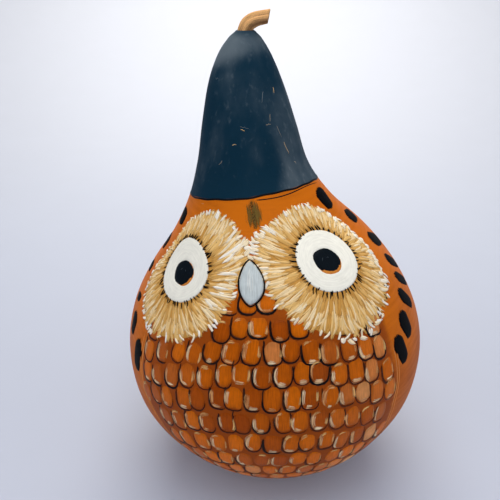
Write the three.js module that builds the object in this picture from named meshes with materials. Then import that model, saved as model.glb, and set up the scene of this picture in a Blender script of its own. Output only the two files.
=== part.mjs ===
// A dried bottle gourd that stands on its own base: a round body that narrows to a leaning neck, with the
// short, ridged stem that it hung from still set in the top of the neck.
// Units are millimetres and +Z is up. The origin is the middle of the flat spot that the gourd stands on, and
// the side that is painted faces -Y.

import * as THREE from "three";
import { mergeVertices } from "three/addons/utils/BufferGeometryUtils.js";

// The body's outline, from the edge of the flat spot up to the rim round the stem. Each row is one level ring.
const OUTLINE = [
  { height: 0, radius: 26, lean: 0 },
  { height: 5, radius: 38, lean: 0 },
  { height: 16, radius: 54, lean: 0 },
  { height: 34, radius: 71, lean: 0 },
  { height: 58, radius: 82.6, lean: 0 },
  { height: 84, radius: 85, lean: 0 },
  { height: 108, radius: 79.8, lean: 0 },
  { height: 130, radius: 68.6, lean: 0 },
  { height: 150, radius: 53.2, lean: 1.8 },
  { height: 168, radius: 38.3, lean: 8.7 },
  { height: 186, radius: 28.8, lean: 14.2 },
  { height: 206, radius: 23.2, lean: 16.8 },
  { height: 226, radius: 17.6, lean: 18.7 },
  { height: 239, radius: 11.1, lean: 19.3 },
  { height: 247, radius: 4.8, lean: 19.3 },
];
const LEAN_DIRECTION = THREE.MathUtils.degToRad(150); // from +X towards +Y: to the left and back
const BODY_DEPTH_RATIO = 0.88; // front to back over side to side, in the round body
const DEPTH_FADE_START = 110; // height where the oval body starts to turn into a round neck
const DEPTH_FADE_END = 190; // height where the neck is round
const RINGS_PER_SPAN = 3; // steps from each row of the outline to the next
const BODY_SIDES = 60;

// The shallow socket in the top of the neck that the stem grows from, and the stem.
const SOCKET_RADIUS = 4.5;
const SOCKET_DEPTH = 2.8;
const STEM_GAP = 0.35; // clearance between the stem and its socket
const STEM_ROUTE = [
  // right, back and up from the middle of the socket's rim
  { right: 0, back: 0, up: -SOCKET_DEPTH + STEM_GAP },
  { right: 0.1, back: 0, up: 0.6 },
  { right: 1.3, back: -0.2, up: 4.0 },
  { right: 4.4, back: -0.5, up: 6.5 },
  { right: 10.4, back: -1.0, up: 7.6 },
];
const STEM_ROOT_RADIUS = 3.75; // where it leaves the neck
const STEM_WAIST_RADIUS = 2.55; // at its thinnest
const STEM_WAIST_AT = 0.72; // share of the stem's length
const STEM_END_RADIUS = 2.95; // at the cut end
const STEM_RIDGES = 5;
const STEM_RIDGE_HEIGHT = 0.09; // share of the radius
const STEM_TWIST = 0.5; // radians, from root to cut end
const STEM_SIDES = 20;
const STEM_STEPS = 16;

const TOP = OUTLINE[OUTLINE.length - 1];

// Share of the side-to-side width that the gourd has from front to back, at a height.
function depthRatio(height) {
  const roundness = THREE.MathUtils.clamp(
    (height - DEPTH_FADE_START) / (DEPTH_FADE_END - DEPTH_FADE_START),
    0,
    1,
  );
  return THREE.MathUtils.lerp(BODY_DEPTH_RATIO, 1, roundness);
}

// The outline as level rings: x is the radius, y the lean and z the height. A smooth curve through the rows of
// OUTLINE is closed at both ends on the axis, by the flat spot and by the floor of the stem's socket.
function bodyRings() {
  const curve = new THREE.CatmullRomCurve3(
    OUTLINE.map((row) => new THREE.Vector3(row.radius, row.lean, row.height)),
    false,
    "catmullrom",
  );
  const socketFloor = TOP.height - SOCKET_DEPTH;
  return [
    new THREE.Vector3(0, OUTLINE[0].lean, 0),
    ...curve.getPoints(RINGS_PER_SPAN * (OUTLINE.length - 1)),
    new THREE.Vector3(SOCKET_RADIUS, TOP.lean, socketFloor),
    new THREE.Vector3(0, TOP.lean, socketFloor),
  ];
}

// The body: its rings turned about the axis, made oval, then each slid over by its own lean.
function bodyGeometry() {
  const rings = bodyRings();
  const outline = rings.map((ring) => new THREE.Vector2(ring.x, ring.z));
  const geometry = new THREE.LatheGeometry(outline, BODY_SIDES);
  geometry.rotateX(Math.PI / 2);
  const place = geometry.getAttribute("position");
  for (let i = 0; i < place.count; i++) {
    const { y: lean, z: height } = rings[i % rings.length];
    place.setXY(
      i,
      place.getX(i) + lean * Math.cos(LEAN_DIRECTION),
      place.getY(i) * depthRatio(height) + lean * Math.sin(LEAN_DIRECTION),
    );
  }
  return onlyPlaces(geometry);
}

// The stem's radius at a share of its length: narrowing to the waist, then flaring to the cut end.
function stemRadius(share) {
  return share < STEM_WAIST_AT
    ? THREE.MathUtils.lerp(
        STEM_ROOT_RADIUS,
        STEM_WAIST_RADIUS,
        THREE.MathUtils.smoothstep(share, 0, STEM_WAIST_AT),
      )
    : THREE.MathUtils.lerp(
        STEM_WAIST_RADIUS,
        STEM_END_RADIUS,
        THREE.MathUtils.smoothstep(share, STEM_WAIST_AT, 1),
      );
}

// The stem: a closed cylinder whose rings are carried along the route, with ridges that twist on the way up.
function stemGeometry() {
  const route = new THREE.CatmullRomCurve3(
    STEM_ROUTE.map((p) => new THREE.Vector3(p.right, p.back, p.up)),
  );
  const frames = route.computeFrenetFrames(STEM_STEPS, false);
  const geometry = new THREE.CylinderGeometry(1, 1, 1, STEM_SIDES, STEM_STEPS);
  const place = geometry.getAttribute("position");
  const point = new THREE.Vector3();
  for (let i = 0; i < place.count; i++) {
    point.fromBufferAttribute(place, i);
    const share = point.y + 0.5;
    const step = Math.round(share * STEM_STEPS);
    const angle = Math.atan2(point.z, point.x);
    const ridge = 1 + STEM_RIDGE_HEIGHT * Math.cos(STEM_RIDGES * angle);
    const radius = Math.hypot(point.x, point.z) * stemRadius(share) * ridge;
    const turned = angle + STEM_TWIST * share;
    point
      .copy(route.getPointAt(share))
      .addScaledVector(frames.normals[step], radius * Math.cos(turned))
      .addScaledVector(frames.binormals[step], -radius * Math.sin(turned));
    place.setXYZ(i, point.x, point.y, point.z);
  }
  return onlyPlaces(geometry);
}

// The same surface with its shared corners merged and its normals worked out from its faces.
function onlyPlaces(geometry) {
  geometry.deleteAttribute("normal");
  geometry.deleteAttribute("uv");
  const merged = mergeVertices(geometry, 1e-3);
  merged.computeVertexNormals();
  return merged;
}

const ochrePaint = new THREE.MeshStandardMaterial({
  color: 0xb8621b,
  roughness: 0.45,
  metalness: 0,
});
const dryStalk = new THREE.MeshStandardMaterial({
  color: 0xb98a4e,
  roughness: 0.8,
  metalness: 0,
});

const gourd = new THREE.Mesh(bodyGeometry(), ochrePaint);
gourd.name = "gourd";

const stem = new THREE.Mesh(stemGeometry(), dryStalk);
stem.name = "stem";
stem.position.set(
  TOP.lean * Math.cos(LEAN_DIRECTION),
  TOP.lean * Math.sin(LEAN_DIRECTION),
  TOP.height,
);

const paintedGourd = new THREE.Group();
paintedGourd.name = "painted_gourd";
paintedGourd.add(gourd, stem);

export default paintedGourd;
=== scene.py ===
"""A dried bottle gourd painted as an owl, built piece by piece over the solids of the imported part.

The gourd's skin and its stem are surfaces of their own. Every mark of thick paint is a closed piece that lies
on the skin: the brushed rings of feathers round the eyes, the beak, the rows of breast feathers and the dark
dashes. A place on the skin is given by its azimuth, in degrees from the front and growing to the viewer's
right, and its height in millimetres above the floor.
"""

from functools import partial
from typing import NamedTuple

import bpy
import numpy as np
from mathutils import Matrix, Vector


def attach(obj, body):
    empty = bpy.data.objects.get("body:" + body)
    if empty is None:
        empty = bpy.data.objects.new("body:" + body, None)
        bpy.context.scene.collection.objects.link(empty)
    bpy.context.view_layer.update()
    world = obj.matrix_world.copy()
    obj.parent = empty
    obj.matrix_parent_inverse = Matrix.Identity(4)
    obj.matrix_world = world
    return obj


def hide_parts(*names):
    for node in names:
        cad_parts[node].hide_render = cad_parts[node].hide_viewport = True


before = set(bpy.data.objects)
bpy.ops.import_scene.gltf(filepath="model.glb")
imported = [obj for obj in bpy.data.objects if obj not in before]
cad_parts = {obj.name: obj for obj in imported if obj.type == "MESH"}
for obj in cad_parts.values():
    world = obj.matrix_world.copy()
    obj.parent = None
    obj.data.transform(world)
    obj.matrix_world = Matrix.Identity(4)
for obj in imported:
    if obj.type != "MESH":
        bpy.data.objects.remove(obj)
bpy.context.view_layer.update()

bl_info = {
    "name": "Painted Owl Gourd",
    "version": (1, 0, 0),
    "blender": (4, 5, 0),
    "location": "3D View > Sidebar > Gourd",
    "description": "Builds a dried gourd painted as an owl, its stem and a plain stage",
    "category": "Add Mesh",
}

MM = 0.001

# The gourd's outline: height, radius and lean of its level rings, in millimetres.
OUTLINE = np.array([
    (0, 26, 0), (5, 38, 0), (16, 54, 0), (34, 71, 0), (58, 82.6, 0), (84, 85, 0), (108, 79.8, 0),
    (130, 68.6, 0), (150, 53.2, 1.8), (168, 38.3, 8.7), (186, 28.8, 14.2), (206, 23.4, 16.8),
    (225, 17.8, 18.7), (237, 12.7, 19.1), (244, 8.0, 18.8), (247, 4.8, 18.5),
])
LEAN_DIRECTION = np.radians(150)
BODY_DEPTH_RATIO = 0.88
DEPTH_FADE = (110, 190)
TOP_HEIGHT, _, TOP_LEAN = OUTLINE[-1]

# The stem's route from the middle of the neck's top: right, back and up, in millimetres.
STEM_ROUTE = np.array([(0, 0, -2.45), (0.1, 0, 0.6), (1.5, -0.2, 3.2), (4.8, -0.5, 5.1), (10.6, -1.0, 6.3)])

# The cap's lower edge is a tilted ring.
CAP_EDGE_HEIGHT = 175
CAP_EDGE_TILT = 6.5
CAP_EDGE_HIGH_SIDE = 40

# Sides of the feathered breast, as azimuth at each height, and the height where it ends below.
BREAST_HEIGHTS = (25, 45, 60, 70, 82, 94, 106, 118)
BREAST_LEFT = (-20, -38, -45.5, -50, -54.4, -56, -56.5, -57)
BREAST_RIGHT = (22, 37, 42, 43, 43.5, 44.6, 44.8, 44.5)
BREAST_FOOT = 22


class Oval(NamedTuple):
    """An ellipse on the skin: its middle, its half width in degrees, its half height in millimetres, its
    slant, and how far it makes up for the skin's narrowing upwards, from 0 for a width in degrees to 1 for
    one in millimetres."""

    azimuth: float
    height: float
    across: float
    up: float
    slant: float
    evenness: float = 0.0

    def at(self, share, angle):
        """Azimuth and height at a share of the way out from the middle, in the direction of an angle in
        radians."""
        x = share * np.cos(angle)
        y = share * np.sin(angle)
        height = self.height + self.up * y + self.slant * x
        widening = (degrees_per_mm(height) / degrees_per_mm(self.height)) ** self.evenness
        return self.azimuth + (self.across * x + self.slant * y) * widening, height


class FaceSide(NamedTuple):
    """One side of the face: the ring of its eye, its pupil, the feathered disc round them, and the disc's
    reach in even steps round it."""

    eye: Oval
    pupil: Oval
    disc: Oval
    reach: tuple

    def edge(self, angle):
        """How far out the disc reaches in a direction, as a share of its oval."""
        steps = np.arange(len(self.reach)) * 360 / len(self.reach)
        return np.interp(np.degrees(angle) % 360, steps, self.reach, period=360)

    def in_disc(self, share, angle):
        """Azimuth and height at a share of the way from the disc's middle to its edge, in a direction."""
        return self.disc.at(share * self.edge(angle), angle)


LEFT_FACE = FaceSide(
    eye=Oval(-51.6, 145.0, 16.1, 12.9, -0.3, 0.6),
    pupil=Oval(-50.9, 144.1, 7.3, 5.2, 0.1, 0.6),
    disc=Oval(-46.6, 143.9, 31.4, 29.2, 3.7),
    reach=(0.9, 1.16, 1.06, 0.99, 0.92, 0.95, 1.01, 0.99, 0.96, 0.95, 0.97, 1.0, 1.05, 1.03, 0.98, 0.9),
)
RIGHT_FACE = FaceSide(
    eye=Oval(29.8, 153.8, 18.1, 10.9, 0.6, 0.6),
    pupil=Oval(28.9, 154.2, 8.2, 4.5, 0.1, 0.6),
    disc=Oval(30.1, 151.1, 37.0, 25.5, 0.4),
    reach=(0.91, 0.96, 0.97, 0.96, 0.94, 0.94, 1.03, 1.23, 1.06, 0.97, 0.94, 1.0, 1.07, 0.96, 0.95, 0.9),
)
FACES = (LEFT_FACE, RIGHT_FACE)
BEAK = Oval(-12.7, 148.0, 6.1, 8.2, 0.0)
FOREHEAD_MARK = Oval(-5.2, 172.9, 6.6, 6.2, -0.6)

# Dark dashes beside the face: azimuth and height where each starts and where it ends, and its share of the
# usual width.
SIDE_DASHES = np.array([
    (66, 177.2, 66.5, 168.6, 1), (75.6, 161.3, 93, 159, 0.66), (74.6, 151.6, 92.5, 144.8, 0.78),
    (73.2, 142.6, 86.6, 132.6, 0.68), (68.6, 135.6, 81.6, 124.8, 0.62), (61.8, 130.8, 70.8, 118.8, 0.74),
    (55.4, 123.6, 58.5, 109.6, 0.92), (47.2, 115.8, 51.2, 100.6, 0.92), (-81.7, 165, -79.7, 157.6, 1),
    (-89.9, 148.8, -88.2, 141.4, 1), (-87.7, 133.8, -86.2, 128.5, 1), (-79.2, 119.5, -78.1, 115.3, 1),
    (-72.5, 112.1, -72.1, 99.9, 0.97), (-60.6, 104.6, -61, 86.8, 0.97),
])

# Scratches in the cap's paint, down to the skin: azimuth and height where each starts and where it ends.
CAP_SCRATCHES = np.array([
    (27, 224, 21, 218.5), (31, 214.4, 28, 210.2), (21, 209.8, 30, 209.5), (36, 209, 41, 202),
    (41, 202, 47, 193.5), (-10, 209.1, 2, 208.3), (-19, 201, -13, 201.6), (-30, 193.5, -36, 191.1),
    (46, 225, 45, 221.8), (-52, 227.9, -44, 228.5), (50, 192.1, 53, 190.5), (-9, 208.2, -2, 207.4),
    (-55, 172.5, -50, 172.8),
])


def paint(red, green, blue):
    """The scene-linear colour of a paint whose screen colour is given in steps of 255."""
    share = np.array((red, green, blue)) / 255
    return tuple(np.where(share <= 0.04045, share / 12.92, ((share + 0.055) / 1.055) ** 2.4).tolist())


def colour_property(label, description, shade):
    """A colour that a user can change."""
    return bpy.props.FloatVectorProperty(
        name=label, description=description, subtype="COLOR", size=3, min=0, max=1, default=paint(*shade)
    )


def length_property(label, description, millimetres):
    """A length that a user can change, kept in metres."""
    return bpy.props.FloatProperty(
        name=label,
        description=description,
        subtype="DISTANCE",
        unit="LENGTH",
        precision=5,
        min=0,
        soft_max=50 * MM,
        default=millimetres * MM,
    )


class GourdColours(bpy.types.PropertyGroup):
    """Colours of the paints, the stem and the stage."""

    ochre: colour_property("Ochre", "Main paint of the body", (208, 108, 8))
    umber: colour_property("Umber", "Darker streaks and the lower body", (150, 68, 8))
    navy: colour_property("Navy", "Main paint of the neck's cap", (6, 43, 61))
    # Slate also paints a sheen on the cap and glints on the pupils: painted highlights.
    slate: colour_property("Slate", "Rubbed, chalky places on the cap", (92, 104, 112))
    black: colour_property("Black", "Outlines, dashes, lashes and pupils", (7, 8, 11))
    bark: colour_property("Bark", "Thin outlines low on the breast", (70, 34, 14))
    tan: colour_property("Tan", "Main strokes of the face", (230, 188, 118))
    honey: colour_property("Honey", "Darker strokes and the ground of the face", (200, 146, 70))
    cream: colour_property("Cream", "Light strokes of the face and feathers", (243, 221, 180))
    white: colour_property("White", "Tips of the face's strokes", (246, 242, 234))
    eye_white: colour_property("Eye white", "Rings of the eyes", (245, 242, 229))
    silver: colour_property("Silver", "The beak", (196, 204, 204))
    feather: colour_property("Feather", "Bright breast feathers", (210, 104, 2))
    feather_dark: colour_property("Dark feather", "Darker breast feathers", (156, 66, 0))
    # Pale feather also paints a sheen on the feathers towards the breast's sides and lower right.
    feather_pale: colour_property("Pale feather", "Rubbed, pale breast feathers", (216, 152, 94))
    rust: colour_property("Rust", "Stain that shows beside the pupils", (206, 128, 52))
    olive: colour_property("Olive", "Smudge on the forehead", (104, 82, 34))
    stalk: colour_property("Stalk", "Light fibres of the stem", (244, 184, 116))
    # Dark stalk also paints shade in the stem's hollows and on the inner side of its bend.
    stalk_dark: colour_property("Dark stalk", "Dark fibres of the stem", (138, 94, 50))
    floor: colour_property("Floor", "The stage's floor", (188, 194, 211))


class GourdSizes(bpy.types.PropertyGroup):
    """Sizes of the paint marks and the seed of their random draws."""

    stroke_width: length_property("Stroke width", "Half width of the face's main strokes", 1.0)
    stroke_thickness: length_property("Stroke thickness", "How far a face stroke stands out", 0.15)
    feather_pitch: length_property("Feather pitch", "From one feather to the next in a row", 8.8)
    feather_half_width: length_property("Feather half width", "Half width of a breast feather", 4.15)
    feather_half_height: length_property("Feather half height", "Half height of a breast feather", 6.15)
    feather_thickness: length_property("Feather thickness", "How far a feather's paint stands out", 0.15)
    line_width: length_property("Line width", "Half width of the dark outlines", 0.55)
    dash_width: length_property("Dash width", "Half width of the dark dashes", 6.4)
    seed: bpy.props.IntProperty(name="Seed", description="Start of the random draws", min=0, default=7)

    def mm(self, key):
        """A size in millimetres."""
        return getattr(self, key) / MM


class GourdSettings(bpy.types.PropertyGroup):
    """All that a user can change."""

    colours: bpy.props.PointerProperty(type=GourdColours)
    sizes: bpy.props.PointerProperty(type=GourdSizes)


# The skin


def ramp(value, start, end):
    """0 up to a start, 1 from an end on and even in between. The end may lie below the start."""
    return np.clip((value - start) / (end - start), 0, 1)


def curve_through(points, steps):
    """A smooth curve through points: each span is a cubic that leaves and reaches its ends with half the
    chord between their neighbours, and past an end the neighbour is mirrored."""
    padded = np.vstack([2 * points[0] - points[1], points, 2 * points[-1] - points[-2]])
    before, start, end, after = (padded[i : len(padded) - 3 + i, None] for i in range(4))
    t = np.linspace(0, 1, steps, endpoint=False)[None, :, None]
    spans = 0.5 * (
        2 * start
        + (end - before) * t
        + (2 * before - 5 * start + 4 * end - after) * t**2
        + (3 * start - before - 3 * end + after) * t**3
    )
    return np.vstack([spans.reshape(-1, points.shape[1]), points[-1:]])


PROFILE = curve_through(OUTLINE, 40)


def depth_ratio(height):
    """Front to back over side to side: constant in the body, growing to 1 up the neck."""
    return BODY_DEPTH_RATIO + (1 - BODY_DEPTH_RATIO) * ramp(height, *DEPTH_FADE)


def swell(azimuth, height):
    """Unevenness of the grown skin, in millimetres: three waves that run slantwise round it and fade out at
    the foot and at the top."""
    a = np.radians(azimuth)
    waves = (
        0.28 * np.sin(3 * a + height / 23)
        + 0.2 * np.sin(5 * a - height / 31 + 1.7)
        + 0.12 * np.sin(8 * a + height / 12 + 0.6)
    )
    return waves * ramp(height, 0, 20) * ramp(height, TOP_HEIGHT, TOP_HEIGHT - 30)


def ring_point(azimuth, height, radius, lean):
    """A point of a level ring, in metres: the ring is an ellipse whose middle is moved over by the lean."""
    a = np.radians(azimuth)
    x = lean * np.cos(LEAN_DIRECTION) + radius * np.sin(a)
    y = lean * np.sin(LEAN_DIRECTION) - radius * depth_ratio(height) * np.cos(a)
    return np.stack(np.broadcast_arrays(x, y, height), axis=-1) * MM


def on_skin(azimuth, height):
    """Points of the skin at an azimuth and a height, in metres."""
    radius = np.interp(height, PROFILE[:, 0], PROFILE[:, 1]) + swell(azimuth, height)
    lean = np.interp(height, PROFILE[:, 0], PROFILE[:, 2])
    return ring_point(azimuth, height, radius, lean)


def unit(vectors):
    """The vectors at length 1."""
    return vectors / np.maximum(np.linalg.norm(vectors, axis=-1, keepdims=True), 1e-12)


def skin_normal(azimuth, height):
    """Outward direction of the skin: across the slope, between small steps to the right and upwards."""
    step = 0.6
    right = on_skin(azimuth + step, height) - on_skin(azimuth - step, height)
    upward = on_skin(azimuth, height + step) - on_skin(azimuth, height - step)
    return unit(np.cross(right, upward))


def degrees_per_mm(height):
    """Azimuth that a millimetre sideways takes at a height."""
    return np.degrees(1 / np.interp(height, PROFILE[:, 0], PROFILE[:, 1]))


def rise_per_mm(height):
    """Height gained by a millimetre along the skin, straight up it."""
    slope = np.gradient(PROFILE[:, 1], PROFILE[:, 0])
    return 1 / np.hypot(1, np.interp(height, PROFILE[:, 0], slope))


def offset_place(azimuth, height, x, y):
    """Azimuth and height of a place that lies x to the right and y up along the skin, in millimetres."""
    return azimuth + x * degrees_per_mm(height), height + y * rise_per_mm(height)


def half_sizes(oval):
    """An oval's half width and half height along the skin, in millimetres."""
    return oval.across / degrees_per_mm(oval.height), oval.up / rise_per_mm(oval.height)


def cap_edge(azimuth):
    """Height of the cap's lower edge: a ring tilted up to one side."""
    return CAP_EDGE_HEIGHT + CAP_EDGE_TILT * np.cos(np.radians(azimuth - CAP_EDGE_HIGH_SIDE))


def breast_sides(height):
    """Azimuths of the breast's left and right side at a height."""
    return tuple(np.interp(height, BREAST_HEIGHTS, side) for side in (BREAST_LEFT, BREAST_RIGHT))


# Meshes


def lathe_faces(rows, columns):
    """Faces of a grid of rings that is closed round its columns, with a pole point below and one above."""
    index = np.arange(rows * columns).reshape(rows, columns)
    after = np.roll(index, -1, axis=1)
    quads = np.stack([index[:-1], after[:-1], after[1:], index[1:]], axis=-1).reshape(-1, 4)
    low, high = rows * columns, rows * columns + 1
    below = np.stack([np.full(columns, low), after[0], index[0]], axis=-1)
    above = np.stack([index[-1], after[-1], np.full(columns, high)], axis=-1)
    return quads.tolist() + below.tolist() + above.tolist()


def ring_faces(rows, columns):
    """Faces of a grid that closes on itself both ways, as a flattened ring does."""
    index = np.arange(rows * columns).reshape(rows, columns)
    after = np.roll(index, -1, axis=1)
    quads = np.stack([index, after, np.roll(after, -1, axis=0), np.roll(index, -1, axis=0)], axis=-1)
    return quads.reshape(-1, 4)


def make_piece(name, points, faces, material, slot, tint=None, brush=None, **numbers):
    """A piece that rides on the gourd: its mesh, material, paint colour, bristle coordinates and any further
    numbers that its material reads at each point. The slot argument is not used."""
    mesh = bpy.data.meshes.new(name)
    mesh.from_pydata(points.reshape(-1, 3).tolist(), [], faces)
    mesh.materials.append(material)
    count = len(mesh.vertices)
    if tint is not None:
        colours = np.concatenate([tint.reshape(-1, 3), np.ones((count, 1))], axis=1)
        mesh.attributes.new("tint", "FLOAT_COLOR", "POINT").data.foreach_set("color", colours.ravel())
    if brush is not None:
        mesh.attributes.new("brush", "FLOAT_VECTOR", "POINT").data.foreach_set("vector", brush.ravel())
    for key, values in numbers.items():
        mesh.attributes.new(key, "FLOAT", "POINT").data.foreach_set("value", values.ravel())
    mesh.shade_smooth()
    mesh.update()
    piece = bpy.data.objects.new(name, mesh)
    bpy.context.scene.collection.objects.link(piece)
    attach(piece, "root")
    return piece


# A stroke's section, from one edge over the top to the other and back below the skin, and its round tip as a
# share of its length.
SECTION_ACROSS = np.array((-1, -0.62, 0, 0.62, 1, 0))
SECTION_RISE = np.array((0, 0.8, 1, 0.8, 0, 0))
SECTION_SINK = np.array((0.08, 0, 0, 0, 0.08, 0.3))
SECTION_COVER = np.array((0, 0.72, 1, 0.72, 0, 0))
ROUND_TIP = 0.08
NARROWEST = 0.02

# Size of the bristle marks across and along a stroke, and how far apart two strokes' marks may start.
BRISTLE_MM = 0.32
BRISTLE_RUN_MM = 7
BRISTLE_SPREAD = 400


def stroke_arrays(paths, rng, half_width, thickness, lift=0.0, swell_share=0.15, tip_share=0.3):
    """Brush strokes that follow paths on the skin, a row of points for each. A section is carried along each
    path: its half width swells as a square root over the first share of the path and shrinks towards the tip
    with the 2.5th power of the distance. Returns points, faces, bristle coordinates and how well the paint
    covers."""
    azimuth, height = np.broadcast_arrays(*paths)
    count, steps = azimuth.shape
    sides = len(SECTION_ACROSS)
    way = np.linspace(0, 1, steps)
    run_x = np.gradient(azimuth, axis=1) / degrees_per_mm(height)
    run_y = np.gradient(height, axis=1) / rise_per_mm(height)
    run = np.maximum(np.hypot(run_x, run_y), 1e-9)
    start = np.sqrt(np.clip(way / swell_share, NARROWEST, 1))
    end = (1 - (1 - tip_share) * way**2.5) * np.sqrt(np.clip((1 - way) / ROUND_TIP, NARROWEST, 1))
    width = np.reshape(half_width, (-1, 1)) * start * end
    across = width[..., None] * SECTION_ACROSS
    x, y = across * (run_y / run)[..., None], -across * (run_x / run)[..., None]
    places = offset_place(azimuth[..., None], height[..., None], x, y)
    rise = np.reshape(lift, (-1, 1)) + np.reshape(thickness, (-1, 1)) * start * np.sqrt(end)
    outward = rise[..., None] * SECTION_RISE - SECTION_SINK
    points = on_skin(*places) + skin_normal(*places) * outward[..., None] * MM
    index = np.arange(count * steps * sides).reshape(count, steps, sides)
    after = np.roll(index, -1, axis=2)
    quads = np.stack([index[:, :-1], after[:, :-1], after[:, 1:], index[:, 1:]], axis=-1)
    faces = quads.reshape(-1, 4).tolist() + index[:, 0, ::-1].tolist() + index[:, -1].tolist()
    offset = rng.uniform(0, BRISTLE_SPREAD, (count, 1, 1))
    along = np.cumsum(run, axis=1)[..., None] / BRISTLE_RUN_MM
    brush = np.stack(np.broadcast_arrays(across / BRISTLE_MM + offset, along, offset * 0.7), axis=-1)
    fade = ramp(way, 0, swell_share) * ramp(way, 1, 0.48 + 0.5 * tip_share)
    cover = np.broadcast_to(fade[:, None] * SECTION_COVER, points.shape[:3])
    return points, faces, brush, cover


def make_strokes(name, paths, tints, material, slot, rng, **laid):
    """A piece made of brush strokes along paths, which are a pair of arrays: azimuths and heights. How they
    are laid goes to stroke_arrays: half width, thickness, lift and shares, one number or one for each
    stroke."""
    points, faces, brush, cover = stroke_arrays(paths, rng, **laid)
    tint = np.broadcast_to(np.asarray(tints)[:, None, None], points.shape)
    return make_piece(name, points, faces, material, slot, tint, brush, cover=cover)


# A daub's rings, as shares of its size: how far each stands out and how well its paint covers.
DAUB_SIDES = 20
DAUB_RINGS = np.array((0.4, 0.72, 0.92, 1.0))
DAUB_RISE = np.array((1.0, 0.95, 0.7, 0.0))
DAUB_COVER = np.array((0.95, 0.7, 0.3, 0.0))
DAUB_SINK_MM = 0.16


def daub_edge(angle, half_width, half_height, corner_x, corner_y):
    """A daub's edge: half width times the cosine and half height times the sine of an angle, each raised to a
    power that squares the corners below 1 and draws out points above 1."""
    x = half_width * np.sign(np.cos(angle)) * np.abs(np.cos(angle)) ** corner_x
    y = half_height * np.sign(np.sin(angle)) * np.abs(np.sin(angle)) ** corner_y
    return x, y


def turned(x, y, turn):
    """Offsets turned by an angle."""
    return x * np.cos(turn) - y * np.sin(turn), x * np.sin(turn) + y * np.cos(turn)


def make_daubs(name, middles, shape, tints, material, slot, rng, thickness, lift=0.0, turn=0.0, wobble=0.04):
    """Domed daubs of paint on the skin, at middles that are a pair of arrays: azimuths and heights. Round
    each daub the edge is daub_edge with a small wave; inside it the paint stands at its full thickness and
    falls off at the edge, and a point below the skin closes it."""
    azimuth, height = middles
    count = len(azimuth)
    angle = np.linspace(0, 2 * np.pi, DAUB_SIDES, endpoint=False)[None, None]
    column = (slice(None), None, None)
    x, y = daub_edge(angle, *(np.broadcast_to(v, count)[column] for v in shape))
    waves = sum(np.sin(angle * turns + rng.uniform(0, 7, count)[column]) for turns in (3, 5))
    share = DAUB_RINGS[None, :, None] * (1 + wobble * waves)
    x, y = turned(x * share, y * share, np.broadcast_to(turn, count)[column])
    places = offset_place(azimuth[column], height[column], x, y)
    full_rise = np.broadcast_to(lift, count) + np.broadcast_to(thickness, count)
    rise = full_rise[column] * DAUB_RISE[:, None] - DAUB_SINK_MM * (DAUB_RISE == 0)[:, None]
    rim = on_skin(*places) + skin_normal(*places) * rise[..., None] * MM
    centre = on_skin(azimuth, height)
    out = skin_normal(azimuth, height)
    crown = centre + out * full_rise[:, None] * MM
    root = centre - out * 3 * DAUB_SINK_MM * MM
    points = np.concatenate([rim.reshape(count, -1, 3), root[:, None], crown[:, None]], axis=1)
    rings = len(DAUB_RINGS)
    block = rings * DAUB_SIDES + 2
    index = np.arange(rings * DAUB_SIDES).reshape(rings, DAUB_SIDES)
    after = np.roll(index, -1, axis=1)
    quads = np.stack([index[1:], after[1:], after[:-1], index[:-1]], axis=-1).reshape(-1, 4)
    top_fan = np.stack([index[0], after[0], np.full(DAUB_SIDES, block - 1)], axis=-1)
    root_fan = np.stack([after[-1], index[-1], np.full(DAUB_SIDES, block - 2)], axis=-1)
    shift = (np.arange(count) * block)[:, None, None]
    faces = (quads + shift).reshape(-1, 4).tolist()
    faces += (top_fan + shift).reshape(-1, 3).tolist() + (root_fan + shift).reshape(-1, 3).tolist()
    offset = rng.uniform(0, BRISTLE_SPREAD, (count, 1))
    flat = np.stack([x, y], axis=-1).reshape(count, -1, 2)
    flat = np.concatenate([flat, np.zeros((count, 2, 2))], axis=1)
    across, along = flat[..., 0] / BRISTLE_MM + offset, flat[..., 1] / BRISTLE_RUN_MM
    brush = np.stack([across, along, np.broadcast_to(offset, across.shape)], axis=-1)
    tint = np.broadcast_to(np.asarray(tints)[:, None], points.shape)
    cover = np.tile(np.append(np.repeat(DAUB_COVER, DAUB_SIDES), (0, 1)), count)
    return make_piece(name, points, faces, material, slot, tint, brush, cover=cover)


# A flat ring's section, from its inner line over the top to its outer one and back below the skin.
BAND_SHARE = np.array((0, 0.03, 0.15, 0.35, 0.55, 0.75, 0.9, 0.97, 1, 0.7, 0.3))
BAND_RISE = np.array((0, 0.7, 1, 1, 1, 1, 0.95, 0.7, 0, 0, 0))
BAND_SINK_MM = np.array((0.16, 0, 0, 0, 0, 0, 0, 0, 0.16, 0.3, 0.3))
BAND_STEPS = 120
BAND_BRISTLE_RADIUS = 2.5
BAND_BRISTLE_GAP = 9


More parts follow.
